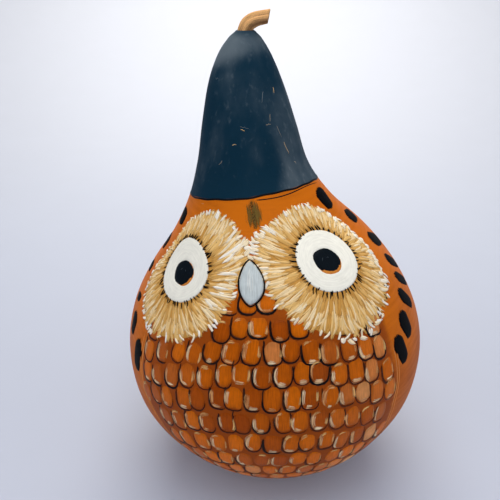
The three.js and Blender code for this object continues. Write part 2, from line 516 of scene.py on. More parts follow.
def make_bands(name, edges, thickness, tints, material, slot, rings):
    """A piece of flat rings of paint, one for each pair of closed lines on the skin: a low section that
    runs from the inner line to the outer one over the top and back below the skin, carried round. Its
    bristle marks run round the ring, as many as rings."""
    angle = np.linspace(0, 2 * np.pi, BAND_STEPS, endpoint=False)[:, None]
    lines = [(inner(angle), outer(angle)) for inner, outer in edges]
    azimuth, height = (
        np.stack([inner[i] + (outer[i] - inner[i]) * BAND_SHARE for inner, outer in lines]) for i in range(2)
    )
    rise = thickness * BAND_RISE - BAND_SINK_MM
    points = on_skin(azimuth, height) + skin_normal(azimuth, height) * rise[:, None] * MM
    count, steps, sides = azimuth.shape
    number = np.arange(count)[:, None, None]
    marks = (
        BAND_SHARE * rings,
        BAND_BRISTLE_RADIUS * np.cos(angle),
        BAND_BRISTLE_RADIUS * np.sin(angle) + BAND_BRISTLE_GAP * number,
    )
    brush = np.stack(np.broadcast_arrays(*marks), axis=-1)
    faces = (ring_faces(steps, sides) + number * steps * sides).reshape(-1, 4).tolist()
    tint = np.broadcast_to(np.asarray(tints)[:, None, None], points.shape)
    cover = np.broadcast_to(BAND_RISE, points.shape[:3])
    return make_piece(name, points, faces, material, slot, tint, brush, cover=cover)


# Materials


class Wire:
    """An output of a material's node. Arithmetic on it adds Math nodes, and node() adds any other node."""

    def __init__(self, tree, socket=None):
        self.tree = tree
        self.socket = socket

    def node(self, kind, settings=None, inputs=None, output=0):
        """Adds a node, sets its settings, then gives each named input a value or a link, and returns an
        output."""
        made = self.tree.nodes.new(kind)
        for key, value in (settings or {}).items():
            setattr(made, key, value)
        for key, value in (inputs or {}).items():
            self.feed(made.inputs[key], value)
        return Wire(self.tree, made.outputs[output])

    def feed(self, target, value):
        """Gives an input a link or a value."""
        if isinstance(value, Wire):
            self.tree.links.new(value.socket, target)
        else:
            target.default_value = value

    def math(self, operation, *terms):
        """A Math node on values."""
        return self.node("ShaderNodeMath", {"operation": operation}, dict(enumerate(terms)))

    def __add__(self, other):
        return self.math("ADD", self, other)

    def __sub__(self, other):
        return self.math("SUBTRACT", self, other)

    def __mul__(self, other):
        return self.math("MULTIPLY", self, other)

    def __rsub__(self, other):
        return self.math("SUBTRACT", other, self)

    __radd__ = __add__
    __rmul__ = __mul__

    def between(self, low, high):
        """0 below low and 1 above high, with a smooth step from one to the other."""
        inputs = {"Value": self, "From Min": low, "From Max": high}
        return self.node("ShaderNodeMapRange", {"interpolation_type": "SMOOTHSTEP"}, inputs)

    def mix(self, first, second):
        """A colour between two, by this value."""
        inputs = {0: self, 6: rgba(first), 7: rgba(second)}
        return self.node("ShaderNodeMix", {"data_type": "RGBA"}, inputs, output=2)

    def scaled(self, factor):
        """A colour or vector times a value, or times a value for each axis."""
        if isinstance(factor, tuple):
            return self.node("ShaderNodeVectorMath", {"operation": "MULTIPLY"}, {0: self, 1: factor})
        return self.node("ShaderNodeVectorMath", {"operation": "SCALE"}, {0: self, "Scale": factor})

    def noise(self, scale, detail=2.0):
        """A noise from about 0 to 1 over these coordinates."""
        return self.node("ShaderNodeTexNoise", {}, {"Vector": self, "Scale": scale, "Detail": detail})

    def attribute(self, name, output="Fac"):
        """What a piece's points hold under a name."""
        return self.node("ShaderNodeAttribute", {"attribute_name": name}, output=output)

    def place(self):
        """The place on the object, in millimetres."""
        return self.node("ShaderNodeTexCoord", output="Object").scaled(1 / MM)


def rgba(colour):
    """A colour with full alpha, or a wire as it is."""
    return colour if isinstance(colour, Wire) else (*colour, 1.0)


def new_material(name, **constants):
    """A material, its wire and its shader, with the shader's constant values set on its own sockets."""
    material = bpy.data.materials.new(name)
    material.use_nodes = True
    shader = material.node_tree.nodes["Principled BSDF"]
    for key, value in constants.items():
        shader.inputs[key.replace("_", " ")].default_value = value
    return material, Wire(material.node_tree), shader


def finish_material(wire, shader, colour, roughness, height, depth_mm):
    """Links what varies over the surface: its colour, its roughness and the height of its bumps."""
    wire.feed(shader.inputs["Base Color"], colour)
    wire.feed(shader.inputs["Roughness"], roughness)
    bump = {"Height": height, "Distance": depth_mm * MM, "Strength": 0.8}
    wire.feed(shader.inputs["Normal"], wire.node("ShaderNodeBump", {}, bump))


def brushed_paint(
    name, contrast, roughness, depth_mm, dry=0.0, worn=0.0, soft=0.5, edge_shade=0.0, gloss=0.07
):
    """Paint laid with a bristle brush: the stroke's own colour, lighter and darker along its bristles. A dry
    brush leaves gaps where the paint covers least, at the edges and the tip, with edges as soft as asked."""
    material, wire, shader = new_material(name, Specular_IOR_Level=gloss)
    bristles = wire.attribute("brush", "Vector").noise(1.0, 3.0)
    cover = wire.attribute("cover")
    blotches = wire.place().noise(0.35)
    shade = 1 + (bristles - 0.5) * contrast + (blotches - 0.5) * (0.4 * contrast) - (1 - cover) * edge_shade
    colour = wire.attribute("tint", "Color").scaled(shade)
    finish_material(wire, shader, colour, roughness + (bristles - 0.5) * 0.3, bristles, depth_mm)
    if dry:
        alpha = (cover + (bristles - 0.5) * dry - worn).between(0.1, soft)
        wire.feed(shader.inputs["Alpha"], alpha)
    return material


def skin_paint(colours):
    """The body's ochre paint under a satin varnish and the cap's dark, rubbed paint. The ochre is streaked
    sideways as it was brushed and turns to umber low down and on the breast; the cap is navy with slate where
    it is rubbed and scuffed, and slate is also laid on as a painted sheen, a painted reflection of the
    lights, in a tilted strip round the top of the neck, strongest on the left, and down the right side."""
    material, wire, shader = new_material("skin_paint", Specular_IOR_Level=0.07)
    place = wire.place()
    across = wire.node("ShaderNodeSeparateXYZ", {}, {0: place}, output=0)
    height = wire.node("ShaderNodeSeparateXYZ", {}, {0: place}, output=2)
    mottle = place.noise(0.035, 3.0)
    streaks = place.scaled((0.06, 0.06, 0.55)).noise(1.0, 4.0)
    grain = place.noise(0.9, 3.0)
    low = 1 - height.between(40, 165)
    dark = (mottle - 0.5) * 1.1 + (streaks - 0.5) * 0.6 + (grain - 0.5) * 0.25 + low * 0.45 + 0.12
    dark = dark + wire.attribute("breast") * 0.7
    ochre = dark.between(0, 1).mix(colours.ochre, colours.umber)
    rubbed = place.scaled((1, 1, 0.45)).noise(0.06, 5.0)
    scuffs = place.scaled((0.4, 0.4, 0.22)).noise(1.0, 5.0).between(0.54, 0.78)
    # Painted sheen: the tilted strip round the top of the neck and the strip down the right side are painted
    # reflections of the lights in slate. The rubbed noise and the scuffs are real wear.
    tilted = height - across * 0.25 - 4
    sheen_band = tilted.between(233, 242) * (1 - height.between(244, 247) * 0.5)
    rubbing_and_sheen = (rubbed - 0.5) * 1.4 + scuffs * 0.25 + sheen_band * (1.0 - across.between(-34, -4) * 0.55)
    rubbing_and_sheen = rubbing_and_sheen + across.between(-10, 8) * 0.4
    cap_colour = rubbing_and_sheen.between(0, 1).mix(colours.navy, colours.slate)
    edge_wave = (place.noise(0.12) - 0.5) * 0.8
    cap = (wire.attribute("above_cap") + edge_wave).between(-0.25, 0.25)
    colour = cap.mix(ochre, cap_colour)
    roughness = 0.52 + (streaks - 0.5) * 0.2 + cap * 0.1 + scuffs * cap * 0.12
    bumps = streaks * 0.6 + grain * 0.3 + scuffs * cap * 0.3
    finish_material(wire, shader, colour, roughness, bumps, depth_mm=0.16)
    return material


def stalk_fibre(colours):
    """Dry stalk: light and dark fibres along it, with fine specks. Where the number 'shade' is high the stalk
    turns dark: painted shade in the hollows between the ridges and on the inner side of the bend, and a
    darker cut end.
    """
    material, wire, shader = new_material("stalk_fibre")
    fibres = wire.attribute("brush", "Vector").noise(1.0, 4.0)
    specks = wire.place().noise(2.2, 3.0)
    dark = (fibres - 0.5) * 1.6 + (specks - 0.5) * 0.8 + wire.attribute("shade") * 0.7 + 0.2
    colour = dark.between(0, 1).mix(colours.stalk, colours.stalk_dark)
    roughness = 0.78 + (specks - 0.5) * 0.2
    finish_material(wire, shader, colour, roughness, fibres + specks * 0.5, depth_mm=0.25)
    return material


def floor_paper(colours):
    """Smooth pale paper with a faint mottle."""
    material, wire, shader = new_material("floor_paper")
    fibre = wire.place().noise(0.02, 2.0)
    shade = fibre.mix(tuple(0.97 * c for c in colours.floor), colours.floor)
    roughness = 0.85 + (fibre - 0.5) * 0.1
    finish_material(wire, shader, shade, roughness, wire.place().noise(0.8), depth_mm=0.02)
    return material


# Pieces


def settings_and_draws(context, number):
    """The colours, the sizes and the random draws of one operator, by its number."""
    settings = context.scene.painted_gourd
    return settings.colours, settings.sizes, np.random.default_rng(settings.sizes.seed + number)


def between_colours(rng, count, first, second, spread=1.0):
    """Colours drawn at random on the way from one paint to another."""
    start, end = np.asarray(first[:]), np.asarray(second[:])
    share = np.clip(0.5 + (rng.random((count, 1)) - 0.5) * spread, 0, 1)
    return start + (end - start) * share


def straight_paths(rows, way):
    """Straight paths, at shares of the way from the place in a row's first two numbers to that in its next
    two."""
    start, end = rows[:, None, :2], rows[:, None, 2:4]
    return start + (end - start) * way[None, :, None]


def joined(paths):
    """One pair of arrays from several pairs: all their azimuths and all their heights."""
    return tuple(np.concatenate(part) for part in zip(*paths))


class GOURD_OT_skin(bpy.types.Operator):
    """Build the gourd's skin"""

    bl_idname = "gourd.skin"
    bl_label = "Skin"

    RINGS_PER_SPAN = 14
    COLUMNS = 300
    FOOT_RADII = (7, 14, 20)
    COLLAR = np.array(((0.5, 4.2, 0), (0.5, 3.6, 0), (-0.6, 3.1, 0)))
    SOCKET_DEPTH = 1.5
    POLES_ABOVE_CAP = (-200, 80)
    BREAST_TOP = 140
    BREAST_FADE = 3

    def execute(self, context):
        """The outline's rings, uneven as swell() says; at the top they turn in to the stem."""
        foot = np.array([(0, radius, 0) for radius in self.FOOT_RADII])
        collar = self.COLLAR + np.array((TOP_HEIGHT, 0, TOP_LEAN))
        rings = np.vstack([foot, curve_through(OUTLINE, self.RINGS_PER_SPAN), collar])
        height, radius, lean = (rings[:, i, None] for i in range(3))
        azimuth = np.linspace(-180, 180, self.COLUMNS, endpoint=False)[None]
        points = ring_point(azimuth, height, radius + swell(azimuth, height), lean)
        ends = np.array((0, TOP_HEIGHT - self.SOCKET_DEPTH))
        poles = ring_point(np.zeros(2), ends, 0, np.array((0, TOP_LEAN)))
        full, side = np.broadcast_arrays(height, azimuth)
        above_cap = np.append(full - cap_edge(side), self.POLES_ABOVE_CAP)
        left, right = breast_sides(full)
        inside = ramp(np.minimum(side - left, right - side), 0, self.BREAST_FADE)
        inside = inside * (full < self.BREAST_TOP) * (full > BREAST_FOOT)
        points = np.concatenate([points.reshape(-1, 3), poles])
        faces = lathe_faces(len(rings), self.COLUMNS)
        material = skin_paint(context.scene.painted_gourd.colours)
        skin = make_piece("gourd_skin", points, faces, material, "painted_shell",
                          above_cap=above_cap, breast=np.append(inside, (0, 0)))
        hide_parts("gourd")
        return {"FINISHED"}


class GOURD_OT_stem(bpy.types.Operator):
    """Build the ridged stem"""

    bl_idname = "gourd.stem"
    bl_label = "Stem"

    STEPS_PER_SPAN = 12
    COLUMNS = 80
    RADIUS_AT = (0, 0.25, 0.72, 1)
    RADII = (3.75, 3.3, 3.0, 2.75)
    CUT_RADII = np.array((0.93, 0.8, 0.5, 0.2))
    CUT_REACH = np.array((0.1, 0, -0.25, -0.4))
    CUT_SLANT = 0.4
    SLANT_FROM = 0.7
    RIDGES = 5
    RIDGE_HEIGHT = 0.09
    TWIST = 0.5
    FIBRES_ROUND = 9
    FIBRES_ALONG = 3

    def execute(self, context):
        """Rings carried along the route. Their radius narrows towards the cut end; round each ring it has
        five ridges that twist on the way up and fine fibres, and the last rings close the slanted, hollowed
        cut."""
        route = curve_through(STEM_ROUTE, self.STEPS_PER_SPAN)
        top = ring_point(np.zeros(1), np.array(TOP_HEIGHT), 0, TOP_LEAN) / MM
        way = np.linspace(0, 1, len(route))
        radius = np.interp(way, self.RADIUS_AT, self.RADII)
        tangent = unit(np.gradient(route, axis=0))
        cut_rings = len(self.CUT_RADII)
        route = np.vstack([route, route[-1] + tangent[-1] * self.CUT_REACH[:, None]])
        radius = np.append(radius, radius[-1] * self.CUT_RADII)
        tangent = np.vstack([tangent, np.repeat(tangent[-1:], cut_rings, axis=0)])
        way = np.append(way, np.ones(cut_rings))[:, None]
        across = unit(np.cross(tangent, (0.0, 1.0, 0.0)))
        forward = np.cross(tangent, across)
        angle = np.linspace(0, 2 * np.pi, self.COLUMNS, endpoint=False)[None]
        turned_angle = angle + self.TWIST * way
        fibre = 0.012 * np.sin(17 * angle + 5 * way) + 0.008 * np.sin(31 * angle - 3 * way)
        rim = radius[:, None] * (1 + self.RIDGE_HEIGHT * np.cos(self.RIDGES * angle) + fibre)
        slant = self.CUT_SLANT * ramp(way, self.SLANT_FROM, 1)
        points = (
            route[:, None]
            + across[:, None] * (rim * np.cos(turned_angle))[..., None]
            + forward[:, None] * (rim * np.sin(turned_angle))[..., None]
            + tangent[:, None] * (slant * rim * np.cos(turned_angle))[..., None]
        )
        ends = np.stack([points[0].mean(axis=0), points[-1].mean(axis=0)])
        points = (np.concatenate([points.reshape(-1, 3), ends]) + top) * MM
        round_stem = self.FIBRES_ROUND * np.cos(angle), self.FIBRES_ROUND * np.sin(angle)
        brush = np.stack(np.broadcast_arrays(*round_stem, self.FIBRES_ALONG * way), axis=-1)
        brush = np.concatenate([brush.reshape(-1, 3), np.zeros((2, 3))])
        # Painted shade: the hollows between the ridges and the inner side of the bend are darkened in place
        # of shadow. The cut end is darker too.
        groove_shade = np.clip(-np.cos(self.RIDGES * angle), 0, 1)
        shaded_side = np.clip(-np.cos(turned_angle) + 0.25, 0, 1)
        cut_face = (np.arange(len(way)) >= len(way) - cut_rings)[:, None]
        shade = np.append(groove_shade * 0.4 + shaded_side * 0.6 + cut_face * 0.6, (0, 1))
        faces = lathe_faces(len(route), self.COLUMNS)
        material = stalk_fibre(context.scene.painted_gourd.colours)
        stem = make_piece("stem_wood", points, faces, material, "dry_stem", brush=brush, shade=shade)
        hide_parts("stem")
        return {"FINISHED"}


class GOURD_OT_cap_marks(bpy.types.Operator):
    """Build the cap's edge line and the scratches in its paint"""

    bl_idname = "gourd.cap_marks"
    bl_label = "Cap marks"

    def execute(self, context):
        """The edge line runs all round at the cap's edge with a slow wobble; a second, thinner line runs
        below it on the right. Scratches are thin strokes of bare skin."""
        colours, _, rng = settings_and_draws(context, 0)
        black = [colours.black[:]]
        line = brushed_paint("cap_line", contrast=0.3, roughness=0.4, depth_mm=0.05, dry=1.6)
        azimuth = np.linspace(-184, 182, 200)[None]
        wobble = 0.12 * np.sin(np.radians(azimuth * 7)) + 0.1 * np.sin(np.radians(azimuth * 17))
        path = azimuth, cap_edge(azimuth) + wobble - 0.2
        make_strokes("cap_edge_line", path, black, line, "line_paint", rng,
                     half_width=0.55, thickness=0.14, swell_share=0.01, tip_share=0.9)
        azimuth = np.linspace(-2, 82, 60)[None]
        path = azimuth, cap_edge(azimuth) - 1.5 - 0.5 * np.sin(np.radians(azimuth * 5))
        make_strokes("cap_second_line", path, black, line, "line_paint", rng,
                     half_width=0.32, thickness=0.1, swell_share=0.05, tip_share=0.4)
        bare = brushed_paint("bare_scratch", contrast=0.7, roughness=0.7, depth_mm=0.05, dry=3.0, worn=0.1)
        path = straight_paths(CAP_SCRATCHES, np.linspace(0, 1, 7))
        path = path + rng.normal(0, 0.25, path.shape)
        tints = between_colours(rng, len(path), colours.slate, colours.tan)
        widths = rng.uniform(0.12, 0.26, len(path))
        make_strokes("cap_scratches", np.moveaxis(path, -1, 0), tints, bare, "painted_shell", rng,
                     half_width=widths, thickness=0.03)
        return {"FINISHED"}


class GOURD_OT_forehead_mark(bpy.types.Operator):
    """Build the hatched smudge on the forehead"""

    bl_idname = "gourd.forehead_mark"
    bl_label = "Forehead mark"

    HATCHES = 13
    STEPS = 6
    CORNER = 0.9

    def execute(self, context):
        """A thin oval smudge, and slanted hatch strokes at even steps across it."""
        colours, _, rng = settings_and_draws(context, 1)
        wash = brushed_paint("forehead_wash", contrast=0.7, roughness=0.5, depth_mm=0.05,
                             dry=2.6, worn=0.12, soft=1.0)
        mark = FOREHEAD_MARK
        middle = np.array([mark.azimuth]), np.array([mark.height])
        shape = (*half_sizes(mark), self.CORNER, self.CORNER)
        make_daubs("forehead_smudge", middle, shape, [colours.olive[:]], wash, "face_paint", rng,
                   thickness=0.05, turn=-0.2)
        spot = np.linspace(-0.8, 0.8, self.HATCHES)[:, None]
        half = 0.55 * np.sqrt(1 - spot**2) * rng.uniform(0.6, 1, (self.HATCHES, 1))
        way = np.linspace(-1, 1, self.STEPS)[None]
        x = half * way * 0.8
        y = spot + half * way * 0.6 + rng.normal(0, 0.03, (self.HATCHES, self.STEPS))
        path = mark.azimuth + mark.across * x, mark.height + mark.up * y
        tints = between_colours(rng, self.HATCHES, colours.bark, colours.olive)
        make_strokes("forehead_hatch", path, tints, wash, "line_paint", rng,
                     half_width=0.28, thickness=0.06, lift=0.05)
        return {"FINISHED"}


# Rows of breast feathers: their heights and azimuth in the middle, the places in a row, and how far feathers
# stay from the breast's sides and reach under the face.
ROW_HEIGHTS = np.array((141.5, 132.5, 123, 112.4, 101.3, 88.4, 75.1, 62.1, 50.5, 39.5, 29.5))
ROW_MIDDLE = 3.5
ROW_SLOTS = 23
SIDE_MARGIN = 2.5
UNDER_FACE = 0.86


def feather_places(pitch_mm, rng):
    """Where the breast feathers sit. A row drops with the square of the azimuth from its middle; in it
    feathers stand a pitch apart, every other row half a pitch over, all a little uneven. Returns azimuth,
    height and row of each, without those under the face or outside the breast."""
    row = np.arange(len(ROW_HEIGHTS))[:, None]
    middle_height = ROW_HEIGHTS[:, None]
    drop = 0.0045 + 0.0006 * row
    step = np.arange(ROW_SLOTS)[None] - ROW_SLOTS // 2
    pitch = pitch_mm * degrees_per_mm(middle_height)
    azimuth = ROW_MIDDLE + pitch * (step + 0.5 * (row % 2))
    azimuth = azimuth + rng.normal(0, 0.06, azimuth.shape) * pitch
    height = middle_height - drop * (azimuth - ROW_MIDDLE) ** 2 + rng.normal(0, 0.5, azimuth.shape)
    left, right = breast_sides(height)
    keep = (azimuth > left + SIDE_MARGIN) & (azimuth < right - SIDE_MARGIN) & (height > BREAST_FOOT)
    for face in FACES:
        x = (azimuth - face.disc.azimuth) / face.disc.across
        y = (height - face.disc.height) / face.disc.up
        keep &= np.hypot(x, y) > UNDER_FACE * face.edge(np.arctan2(y, x))
    rows = np.broadcast_to(row, azimuth.shape)
    return azimuth[keep], height[keep], rows[keep]


class Arc(NamedTuple):
    """Strokes along part of the feathers' edges: the share of feathers that have one, the angles where it
    starts and ends, its half widths, how far out it lies and its two colours."""

    share: float
    start: tuple
    end: tuple
    width: tuple
    reach: float
    colours: tuple


LIGHT_ARCS = (
    Arc(0.62, (1.8, 2.6), (4.0, 5.0), (1.0, 2.0), 0.82, ("cream", "feather_pale")),
    Arc(0.52, (3.7, 4.3), (4.9, 5.7), (1.1, 2.2), 0.8, ("cream", "feather_pale")),
    Arc(0.45, (0.9, 1.6), (2.3, 3.2), (0.9, 1.7), 0.82, ("feather_pale", "tan")),
    Arc(0.4, (-1.2, -0.4), (0.2, 0.9), (0.7, 1.3), 0.85, ("feather_pale", "tan")),
)


class GOURD_OT_feathers(bpy.types.Operator):
    """Build the rows of breast feathers, their light edges and their dark outlines"""

    bl_idname = "gourd.feathers"
    bl_label = "Breast feathers"

    STEPS = 11
    BAR_STEPS = 7
    SHORT_ROWS, SHORT_SHARE = 2, 0.85
    BARRED_ROWS = 6
    FULL_ROWS = 7

    def execute(self, context):
        """Feathers are squarish daubs; light strokes follow parts of their edges, and dark ones run down
        their sides and round the bottom just outside them, over a soft brown shade, fainter in the lower
        rows."""
        colours, sizes, rng = settings_and_draws(context, 2)
        thickness = sizes.mm("feather_thickness")
        line_width = sizes.mm("line_width")
        pitch = sizes.mm("feather_pitch")
        azimuth, height, row = feather_places(pitch, rng)
        count = len(azimuth)
        half_width = sizes.mm("feather_half_width") * rng.uniform(0.9, 1.05, count)
        half_height = sizes.mm("feather_half_height") * rng.uniform(0.92, 1.06, count)
        half_height = half_height * np.where(row < self.SHORT_ROWS, self.SHORT_SHARE, 1)
        corners = rng.uniform(0.58, 0.9, count)
        slanting = ramp(azimuth, -8, -53) * ramp(height, 112, 72)
        turn = rng.normal(0, 0.06, count) + 0.36 * slanting

        def arcs(chosen, start, end, reach):
            """Paths along the chosen feathers' edges, from a start angle to an end angle, at a share of their
            size."""
            angle = start[:, None] + (end - start)[:, None] * np.linspace(0, 1, self.STEPS)
            corner = corners[chosen, None]
            x, y = daub_edge(angle, half_width[chosen, None], half_height[chosen, None], corner, corner)
            x, y = turned(x * reach, y * reach, turn[chosen, None])
            return offset_place(azimuth[chosen, None], height[chosen, None], x, y)

        bright = between_colours(rng, count, colours.feather, colours.feather_dark)
        pale = between_colours(rng, count, colours.feather_pale, colours.feather)
        # Feathers turn paler towards the breast's sides, low down and on the right. This is partly real pale,
        # rubbed paint and partly a painted sheen in place of light on the curving sides.
        pale_and_sheen_share = ramp(np.abs(azimuth + 6), 22, 52)
        pale_and_sheen_share = pale_and_sheen_share + 0.5 * ramp(height, 70, 40) + 0.5 * ramp(azimuth, 8, 33)
        is_pale = rng.random(count) < 0.03 + 0.16 * pale_and_sheen_share
        paleness = np.clip(0.5 * pale_and_sheen_share * rng.random(count) + 0.7 * is_pale, 0, 1)
        tints = bright + (pale - bright) * paleness[:, None]
        # Painted light: feathers in the lower rows are made up to 40 % lighter, in place of light thrown up
        # from the floor.
        tints = tints * (1 + 0.4 * ramp(height, 84, 44))[:, None]
        fill = brushed_paint("feather_paint", contrast=0.85, roughness=0.42, depth_mm=0.12, edge_shade=0.35)
        shape = (half_width, half_height, corners, corners)
        make_daubs("breast_feathers", (azimuth, height), shape, tints, fill, "face_paint", rng,
                   thickness=thickness, turn=turn)

        faint = (row - 3.5) / 4 + 1.2 * ramp(azimuth, -12, 36) - 0.6 + rng.normal(0, 0.2, count)
        outlined = np.flatnonzero(rng.random(count) < np.where(row < self.FULL_ROWS, 0.97, 0.8))
        number = len(outlined)
        path = arcs(outlined, rng.uniform(2.2, 2.9, number), rng.uniform(5.6, 7.0, number), 1.08)
        shade = brushed_paint("feather_shade", contrast=0.4, roughness=0.5, depth_mm=0.05, dry=2.2, worn=0.05)
        brown = between_colours(rng, number, colours.bark, colours.feather_dark)
        make_strokes("feather_shades", path, brown, shade, "line_paint", rng,
                     half_width=line_width * 2.2, thickness=0.05, lift=0.05)
        fade = np.clip(faint, 0, 1)[outlined]
        black, bark = np.asarray(colours.black[:]), np.asarray(colours.bark[:])
        tones = black + (bark - black) * fade[:, None]
        widths = line_width * rng.uniform(0.6, 1.6, number) * (1 - 0.5 * fade)
        line = brushed_paint("feather_line", contrast=0.4, roughness=0.4, depth_mm=0.06, dry=1.8)
        make_strokes("feather_outlines", path, tones, line, "line_paint", rng,
                     half_width=widths, thickness=0.09, lift=0.09, swell_share=0.2, tip_share=0.4)

        barred = np.flatnonzero((rng.random(count) < 0.75) & (row < self.BARRED_ROWS))
        number = len(barred)
        y = np.linspace(1, 0, self.BAR_STEPS) * rng.uniform(0.9, 1.4, (number, 1))
        y = y - rng.uniform(0.1, 0.5, (number, 1))
        x = rng.normal(0, 0.12, y.shape) - 0.5 * pitch
        up = y * sizes.mm("feather_half_height")
        path = offset_place(azimuth[barred, None], height[barred, None], x, up)
        tones = between_colours(rng, number, colours.black, colours.bark, 0.6)
        widths = line_width * rng.uniform(0.7, 1.3, number)
        make_strokes("feather_bars", path, tones, line, "line_paint", rng,
                     half_width=widths, thickness=0.08, lift=0.1, swell_share=0.2, tip_share=0.4)

        light = brushed_paint("feather_light", contrast=0.5, roughness=0.5, depth_mm=0.1,
                              dry=2.6, worn=0.2, soft=1.15)
        paths, widths, tones = [], [], []
        for arc in LIGHT_ARCS:
            chosen = np.flatnonzero(rng.random(count) < arc.share)
            number = len(chosen)
            start = rng.uniform(*arc.start, number)
            end = rng.uniform(*arc.end, number)
            paths.append(arcs(chosen, start, end, arc.reach))
            widths.append(rng.uniform(*arc.width, number))
            tones.append(between_colours(rng, number, *(getattr(colours, key) for key in arc.colours)))
        make_strokes("feather_lights", joined(paths), np.concatenate(tones), light, "face_paint", rng,
                     half_width=np.concatenate(widths), thickness=0.07, lift=thickness,
                     swell_share=0.25, tip_share=0.35)
        return {"FINISHED"}


class GOURD_OT_breast_borders(bpy.types.Operator):
    """Build the pale lines that border the breast"""

    bl_idname = "gourd.breast_borders"
    bl_label = "Breast borders"

    LINES = ((BREAST_LEFT, -1.2), (BREAST_LEFT, 0.3), (BREAST_RIGHT, 1.2), (BREAST_RIGHT, -0.3))
    WIDTHS = np.array((0.5, 0.35, 0.5, 0.35))
    HEIGHTS = np.linspace(118, 26, 90)

    def execute(self, context):
        """Two thin lines side by side along each edge of the breast."""
        colours, _, rng = settings_and_draws(context, 3)
        pale = brushed_paint("border_paint", contrast=0.6, roughness=0.45, depth_mm=0.06, dry=1.8)
        count = len(self.LINES)
        azimuth = np.stack([np.interp(self.HEIGHTS, BREAST_HEIGHTS, edge) + gap for edge, gap in self.LINES])
        wobble = 0.3 * np.sin(self.HEIGHTS / 9 + np.arange(count)[:, None])
        tints = between_colours(rng, count, colours.feather_pale, colours.ochre, 0.5)
        make_strokes("breast_borders", (azimuth + wobble, self.HEIGHTS), tints, pale, "face_paint", rng,
                     half_width=self.WIDTHS, thickness=0.12)
        return {"FINISHED"}


class GOURD_OT_dashes(bpy.types.Operator):
    """Build the dark dashes beside the face and on the back"""

    bl_idname = "gourd.dashes"
    bl_label = "Dashes"

    BACK_ROWS, BACK_COLUMNS = 6, 5
    BACK_TOP, BACK_DROP, BACK_LENGTH = 160, 17, 13
    BACK_STEP_DEGREES = 24
    BACK_SHARE = 0.7
    STEPS = 11
    PAST_ENDS = 0.08

    def execute(self, context):
        """Short blunt strokes: those beside the face at their own places, those on the back in staggered
        rows."""
        colours, sizes, rng = settings_and_draws(context, 4)
        row, column = np.indices((self.BACK_ROWS, self.BACK_COLUMNS))
        from_middle = column - self.BACK_COLUMNS // 2 + 0.5 * (row % 2 - 0.5)
        height = self.BACK_TOP - self.BACK_DROP * row + rng.normal(0, 1, row.shape)
        azimuth = 180 + from_middle * self.BACK_STEP_DEGREES + rng.normal(0, 2, row.shape)
        end = azimuth + rng.normal(0, 1.5, row.shape)
        share = np.full(row.shape, self.BACK_SHARE)
        back = np.stack([azimuth, height, end, height - self.BACK_LENGTH, share], axis=-1)
        dashes = np.concatenate([SIDE_DASHES, back.reshape(-1, 5)])
        count = len(dashes)
        path = straight_paths(dashes, np.linspace(-self.PAST_ENDS, 1 + self.PAST_ENDS, self.STEPS))
        widths = sizes.mm("dash_width") * dashes[:, 4] * rng.uniform(0.94, 1.06, count)
        thick = brushed_paint("dash_paint", contrast=0.5, roughness=0.62, depth_mm=0.1,
                              dry=0.7, soft=0.3, gloss=0.03)
        make_strokes("wing_dashes", np.moveaxis(path, -1, 0), [colours.black[:]] * count, thick, "line_paint",
                     rng, half_width=widths, thickness=0.28, swell_share=0.28, tip_share=0.7)
        return {"FINISHED"}


FAN_STEPS = 7


def fan(face, angle, start, end, bend):
    """Paths that fan out round an eye: each runs from a start share to an end share of the way from the eye's
    ring to the disc's edge, and turns aside with the square of the way."""
    way = np.linspace(0, 1, FAN_STEPS)[None]
    share = start[:, None] + (end - start)[:, None] * way
    turned_angle = angle[:, None] + bend[:, None] * way**2
    ring, edge = face.eye.at(1.0, turned_angle), face.in_disc(1.0, turned_angle)
    return tuple(inner + (outer - inner) * share for inner, outer in zip(ring, edge))


class FringeLayer(NamedTuple):
    """One layer of the face's strokes: the sides of the face that have it, how many strokes there are on a
    side, the angles they lie between, where they start and end, their width, lift, colours and record
    slot."""

    name: str
    sides: tuple
    count: int
    angles: tuple
    start: tuple
    end: tuple
    width: float
    lift: float
    colours: tuple
    slot: str = "face_paint"


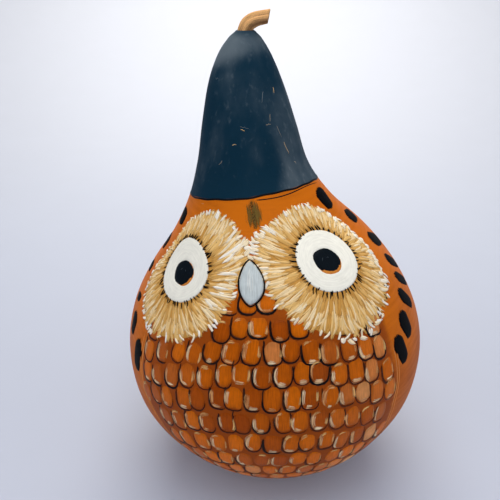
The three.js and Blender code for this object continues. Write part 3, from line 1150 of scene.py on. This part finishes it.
ROUND = (0.0, 2 * np.pi)
LEFT, RIGHT = (LEFT_FACE,), (RIGHT_FACE,)
PALE = ("white", "cream")
DARK = ("black", "bark")
FRINGE_LAYERS = (
    FringeLayer("fringe_outer", FACES, 170, ROUND, (0.35, 0.6), (0.9, 1.06), 1.35, 0.2, ("tan", "honey")),
    FringeLayer("fringe_inner", FACES, 110, ROUND, (-0.04, 0.1), (0.5, 0.8), 1.15, 0.24, ("honey", "tan")),
    FringeLayer("fringe_tan", FACES, 120, ROUND, (0.2, 0.6), (0.75, 1.02), 1.0, 0.29, ("tan", "cream")),
    FringeLayer("fringe_lights", FACES, 80, ROUND, (0.05, 0.55), (0.55, 1.04), 0.6, 0.34, ("cream", "tan")),
    FringeLayer("fringe_tips", FACES, 50, ROUND, (0.72, 0.88), (0.96, 1.08), 0.8, 0.38, PALE),
    FringeLayer("bridge_left", LEFT, 16, (-0.45, 0.75), (0.15, 0.6), (0.6, 1.08), 1.1, 0.4, PALE),
    FringeLayer("bridge_right", RIGHT, 14, (2.3, 3.2), (0.5, 0.8), (0.9, 1.06), 1.1, 0.4, PALE),
    FringeLayer("bridge_tip_left", LEFT, 6, (0.2, 0.5), (0.8, 0.9), (1.04, 1.12), 1.2, 0.42, PALE),
    FringeLayer("bridge_tip_right", RIGHT, 6, (2.6, 2.95), (0.82, 0.9), (1.0, 1.08), 1.2, 0.42, PALE),
    FringeLayer("rim_right", RIGHT, 26, (-0.8, 1.1), (0.6, 0.85), (0.9, 1.06), 1.6, 0.4, PALE),
    FringeLayer("tips_left", LEFT, 15, (3.2, 4.7), (0.84, 0.92), (0.98, 1.06), 1.0, 0.4, PALE),
    FringeLayer("dabs_right", RIGHT, 8, (-1.8, -1.1), (0.93, 1.0), (1.04, 1.14), 1.4, 0.4, PALE),
    FringeLayer("face_ticks", RIGHT, 9, (-1.7, -0.5), (0.7, 0.9), (0.86, 1.0), 0.4, 0.48, DARK, "line_paint"),
)


class GOURD_OT_face(bpy.types.Operator):
    """Build the feathered discs round the eyes"""

    bl_idname = "gourd.face"
    bl_label = "Face discs"

    def execute(self, context):
        """A ground of honey paint on each disc, then layers of strokes that fan out from the eye, each a
        little higher than the last."""
        colours, sizes, rng = settings_and_draws(context, 5)
        ground = brushed_paint("face_ground_paint", contrast=0.5, roughness=0.55, depth_mm=0.1)
        fringe = brushed_paint("fringe_paint", contrast=0.7, roughness=0.5, depth_mm=0.1, dry=2.4, worn=0.05)
        edges = [(partial(face.eye.at, 0.97), partial(face.in_disc, 0.94)) for face in FACES]
        honey = [colours.honey[:]] * len(FACES)
        make_bands("face_ground", edges, 0.1, honey, ground, "face_paint", rings=60)
        for layer in FRINGE_LAYERS:
            paths = []
            first_angle, last_angle = layer.angles
            gap = (last_angle - first_angle) / layer.count
            for face in layer.sides:
                angle = first_angle + gap * np.arange(layer.count) + rng.normal(0, 0.4 * gap, layer.count)
                start = rng.uniform(*layer.start, layer.count)
                end = rng.uniform(*layer.end, layer.count)
                paths.append(fan(face, angle, start, end, rng.normal(0, 0.05, layer.count)))
            total = layer.count * len(layer.sides)
            widths = layer.width * sizes.mm("stroke_width") * rng.uniform(0.75, 1.25, total)
            thickness = sizes.mm("stroke_thickness") * rng.uniform(0.6, 1, total)
            lift = layer.lift + rng.uniform(0, 0.08, total)
            tints = between_colours(rng, total, *(getattr(colours, key) for key in layer.colours))
            make_strokes(layer.name, joined(paths), tints, fringe, layer.slot, rng,
                         half_width=widths, thickness=thickness, lift=lift, swell_share=0.3, tip_share=0.55)
        return {"FINISHED"}


class GOURD_OT_eyes(bpy.types.Operator):
    """Build the eyes' white rings, pupils and lashes"""

    bl_idname = "gourd.eyes"
    bl_label = "Eyes"

    LASHES = 58
    CORNER = 0.95
    RIM_OFFSETS = np.array(((0.7, 0.1), (-0.3, -1.0)))

    def execute(self, context):
        """Flat white rings brushed round, domed dark pupils with a wavy edge, a rim and glints, and short
        dark ticks round the rings."""
        colours, _, rng = settings_and_draws(context, 6)
        white = brushed_paint("eye_paint", contrast=0.3, roughness=0.45, depth_mm=0.14)
        edges = [(partial(face.pupil.at, 0.85), partial(face.eye.at, 1.0)) for face in FACES]
        tints = [tuple(0.93 * c for c in colours.eye_white), colours.eye_white[:]]
        make_bands("eye_whites", edges, 0.5, tints, white, "face_paint", rings=16)

        gloss = brushed_paint("pupil_paint", contrast=0.8, roughness=0.4, depth_mm=0.1, gloss=0.05)
        azimuth, height, across, up = np.array([face.pupil[:4] for face in FACES]).T
        shape = (across / degrees_per_mm(height), up / rise_per_mm(height), self.CORNER, self.CORNER)
        dark = [tuple(c * 0.8 + n * 0.12 for c, n in zip(colours.black, colours.navy))] * len(FACES)
        make_daubs("pupils", (azimuth, height), shape, dark, gloss, "line_paint", rng,
                   thickness=0.22, lift=0.5, wobble=0.025)
        rims = offset_place(azimuth, height, *self.RIM_OFFSETS)
        rust = [colours.rust[:]] * len(FACES)
        stain = brushed_paint("pupil_rim_paint", contrast=0.6, roughness=0.5, depth_mm=0.05)
        make_daubs("pupil_rims", rims, shape, rust, stain, "face_paint", rng,
                   thickness=0.12, lift=0.5, wobble=0.03)
        way = np.linspace(0, 1, 9)[None]
        glints = [
            face.pupil.at(0.25 + 0.1 * k, 0.6 + 1.6 * k + 0.9 * way) for face in FACES for k in range(2)
        ]
        slate = [colours.slate[:]] * len(glints)
        sheen = brushed_paint("pupil_glint_paint", contrast=0.5, roughness=0.5, depth_mm=0.05, dry=2.0)
        make_strokes("pupil_glints", joined(glints), slate, sheen, "line_paint", rng,
                     half_width=0.3, thickness=0.04, lift=0.72, swell_share=0.3, tip_share=0.3)

        even = np.arange(self.LASHES) / self.LASHES * 2 * np.pi
        paths = []
        for face in FACES:
            angle = even + rng.normal(0, 0.035, self.LASHES)
            start = rng.uniform(-0.06, 0.0, self.LASHES)
            end = start + rng.uniform(0.1, 0.22, self.LASHES)
            paths.append(fan(face, angle, start, end, rng.normal(0, 0.05, self.LASHES)))
        total = self.LASHES * len(FACES)
        lash = brushed_paint("lash_paint", contrast=0.3, roughness=0.4, depth_mm=0.05, dry=1.2)
        make_strokes("eye_lashes", joined(paths), [colours.black[:]] * total, lash, "line_paint", rng,
                     half_width=rng.uniform(0.3, 0.52, total), thickness=0.1, lift=0.56)
        return {"FINISHED"}


class GOURD_OT_beak(bpy.types.Operator):
    """Build the beak and its outline"""

    bl_idname = "gourd.beak"
    bl_label = "Beak"

    CORNERS = (1.5, 1.0)
    OUTLINE_SHARE = 1.02
    STREAKS = np.array(((-0.28, 0.1), (-0.16, 0.2), (-0.05, 0.0), (0.12, 0.05)))

    def execute(self, context):
        """A pointed daub of silver paint with light streaks down it, in a dark line that follows its edge."""
        colours, _, rng = settings_and_draws(context, 7)
        silver = brushed_paint("beak_paint", contrast=0.8, roughness=0.4, depth_mm=0.12)
        middle = np.array([BEAK.azimuth]), np.array([BEAK.height])
        half_width, half_height = half_sizes(BEAK)
        shape = (half_width, half_height, *self.CORNERS)
        make_daubs("beak_silver", middle, shape, [colours.silver[:]], silver, "face_paint", rng,
                   thickness=0.35, lift=0.65, wobble=0.0)
        angle = np.linspace(0, 2 * np.pi, 60)[None] + np.pi / 2
        x, y = daub_edge(angle, *shape)
        path = offset_place(BEAK.azimuth, BEAK.height, x * self.OUTLINE_SHARE, y * self.OUTLINE_SHARE)
        line = brushed_paint("beak_line", contrast=0.3, roughness=0.4, depth_mm=0.05, dry=1.4)
        make_strokes("beak_outline", path, [colours.black[:]], line, "line_paint", rng,
                     half_width=0.45, thickness=0.2, lift=0.75, swell_share=0.02, tip_share=0.9)
        way = np.linspace(-1, 1, 9)[None]
        spot, rise = self.STREAKS[:, :1], self.STREAKS[:, 1:]
        x = half_width * spot * (1 - 0.4 * way**2)
        y = half_height * (way * 0.45 + rise)
        path = offset_place(BEAK.azimuth, BEAK.height, x, y)
        tints = between_colours(rng, len(self.STREAKS), colours.white, colours.silver)
        make_strokes("beak_lights", path, tints, silver, "face_paint", rng,
                     half_width=0.6, thickness=0.1, lift=1.04)
        return {"FINISHED"}


class GOURD_OT_stage(bpy.types.Operator):
    """Build the floor, the lights and the camera"""

    bl_idname = "gourd.stage"
    bl_label = "Stage"

    FLOOR_MIDDLE, FLOOR_FLAT, FLOOR_RADIUS = 0.05, 0.7, 2.6
    FLOOR_RINGS, FLOOR_SIDES = 40, 64
    FLOOR_SWEEP = 0.5
    FLOOR_GAP = 0.0002
    CAMERA_PLACE = (-13.9, -224.1, 257.9)
    CAMERA_PITCH = 28
    FOCAL_SHARE = 462 / 500
    NEUTRAL = (1, 1, 1)
    WARM = (1, 0.93, 0.78)
    LIGHTS = (
        ("left_softbox", (-0.75, -0.35, 0.75), (0, 0, 0.12), 0.7, 1.9, NEUTRAL),
        ("right_softbox", (0.85, -0.25, 0.7), (0, 0, 0.12), 0.8, 1.7, NEUTRAL),
        ("top_softbox", (0.0, -0.05, 1.15), (0, 0, 0.12), 1.0, 7.2, NEUTRAL),
        ("front_fill", (0.05, -0.9, 0.85), (0, 0, 0.16), 0.7, 2.6, NEUTRAL),
        ("backdrop_softbox", (0.0, 0.95, 1.05), (0, 1.35, 0.15), 0.9, 18.0, WARM),
    )
    WORLD_COLOUR = (0.9, 0.93, 1.0, 1)
    WORLD_STRENGTH = 0.17

    def execute(self, context):
        """A round floor as a grid of radius and angle, flat in the middle and swept up with the square of the
        distance outside it; soft area lights round the gourd, a pale world and the camera."""
        scene = context.scene
        radius = np.linspace(self.FLOOR_MIDDLE, self.FLOOR_RADIUS, self.FLOOR_RINGS)[:, None]
        angle = np.linspace(0, 2 * np.pi, self.FLOOR_SIDES, endpoint=False)[None]
        rise = self.FLOOR_SWEEP * np.clip(radius - self.FLOOR_FLAT, 0, None) ** 2 - self.FLOOR_GAP
        x, y, z = np.broadcast_arrays(radius * np.cos(angle), radius * np.sin(angle), rise)
        index = np.arange(x.size).reshape(x.shape)
        after = np.roll(index, -1, axis=1)
        quads = np.stack([index[:-1], index[1:], after[1:], after[:-1]], axis=-1).reshape(-1, 4)
        points = np.stack([x, y, z], axis=-1).reshape(-1, 3)
        mesh = bpy.data.meshes.new("floor")
        mesh.from_pydata(points.tolist(), [], quads.tolist() + [index[0].tolist()])
        mesh.materials.append(floor_paper(scene.painted_gourd.colours))
        mesh.shade_smooth()
        floor = bpy.data.objects.new("floor", mesh)
        scene.collection.objects.link(floor)
        for name, place, target, size, power, colour in self.LIGHTS:
            lamp = bpy.data.lights.new(name, "AREA")
            lamp.size = size
            lamp.energy = power
            lamp.color = colour
            light = bpy.data.objects.new(name, lamp)
            light.location = place
            light.rotation_euler = (Vector(target) - Vector(place)).to_track_quat("-Z", "Y").to_euler()
            scene.collection.objects.link(light)
        world = bpy.data.worlds.new("pale_world")
        world.use_nodes = True
        world.node_tree.nodes["Background"].inputs["Color"].default_value = self.WORLD_COLOUR
        world.node_tree.nodes["Background"].inputs["Strength"].default_value = self.WORLD_STRENGTH
        scene.world = world
        scene.view_settings.view_transform = "Standard"
        lens = bpy.data.cameras.new("camera")
        lens.lens = lens.sensor_width * self.FOCAL_SHARE
        lens.clip_start = 0.01
        camera = bpy.data.objects.new("camera", lens)
        camera.location = Vector(self.CAMERA_PLACE) * MM
        camera.rotation_euler = (np.radians(90 - self.CAMERA_PITCH), 0, 0)
        scene.collection.objects.link(camera)
        scene.camera = camera
        return {"FINISHED"}


class GOURD_PT_panel(bpy.types.Panel):
    """The gourd's pieces and settings in the 3D view's sidebar"""

    bl_idname = "GOURD_PT_panel"
    bl_label = "Painted Gourd"
    bl_space_type = "VIEW_3D"
    bl_region_type = "UI"
    bl_category = "Gourd"

    def draw(self, context):
        """A button for each operator, then the sizes and colours."""
        for operator in OPERATORS:
            self.layout.operator(operator.bl_idname)
        settings = context.scene.painted_gourd
        for group in (settings.sizes, settings.colours):
            box = self.layout.box()
            for key in group.bl_rna.properties.keys():
                if key not in ("rna_type", "name"):
                    box.prop(group, key)


OPERATORS = (
    GOURD_OT_skin,
    GOURD_OT_stem,
    GOURD_OT_cap_marks,
    GOURD_OT_forehead_mark,
    GOURD_OT_feathers,
    GOURD_OT_breast_borders,
    GOURD_OT_dashes,
    GOURD_OT_face,
    GOURD_OT_eyes,
    GOURD_OT_beak,
    GOURD_OT_stage,
)
CLASSES = (GourdColours, GourdSizes, GourdSettings, *OPERATORS, GOURD_PT_panel)


def register():
    """Registers the classes and the scene's settings."""
    for each in CLASSES:
        bpy.utils.register_class(each)
    bpy.types.Scene.painted_gourd = bpy.props.PointerProperty(type=GourdSettings)


def unregister():
    """Takes the settings and classes away again."""
    del bpy.types.Scene.painted_gourd
    for each in reversed(CLASSES):
        bpy.utils.unregister_class(each)


def main():
    """Builds every piece in order."""
    register()
    for operator in OPERATORS:
        group, name = operator.bl_idname.split(".")
        getattr(getattr(bpy.ops, group), name)()


if __name__ == "__main__":
    main()
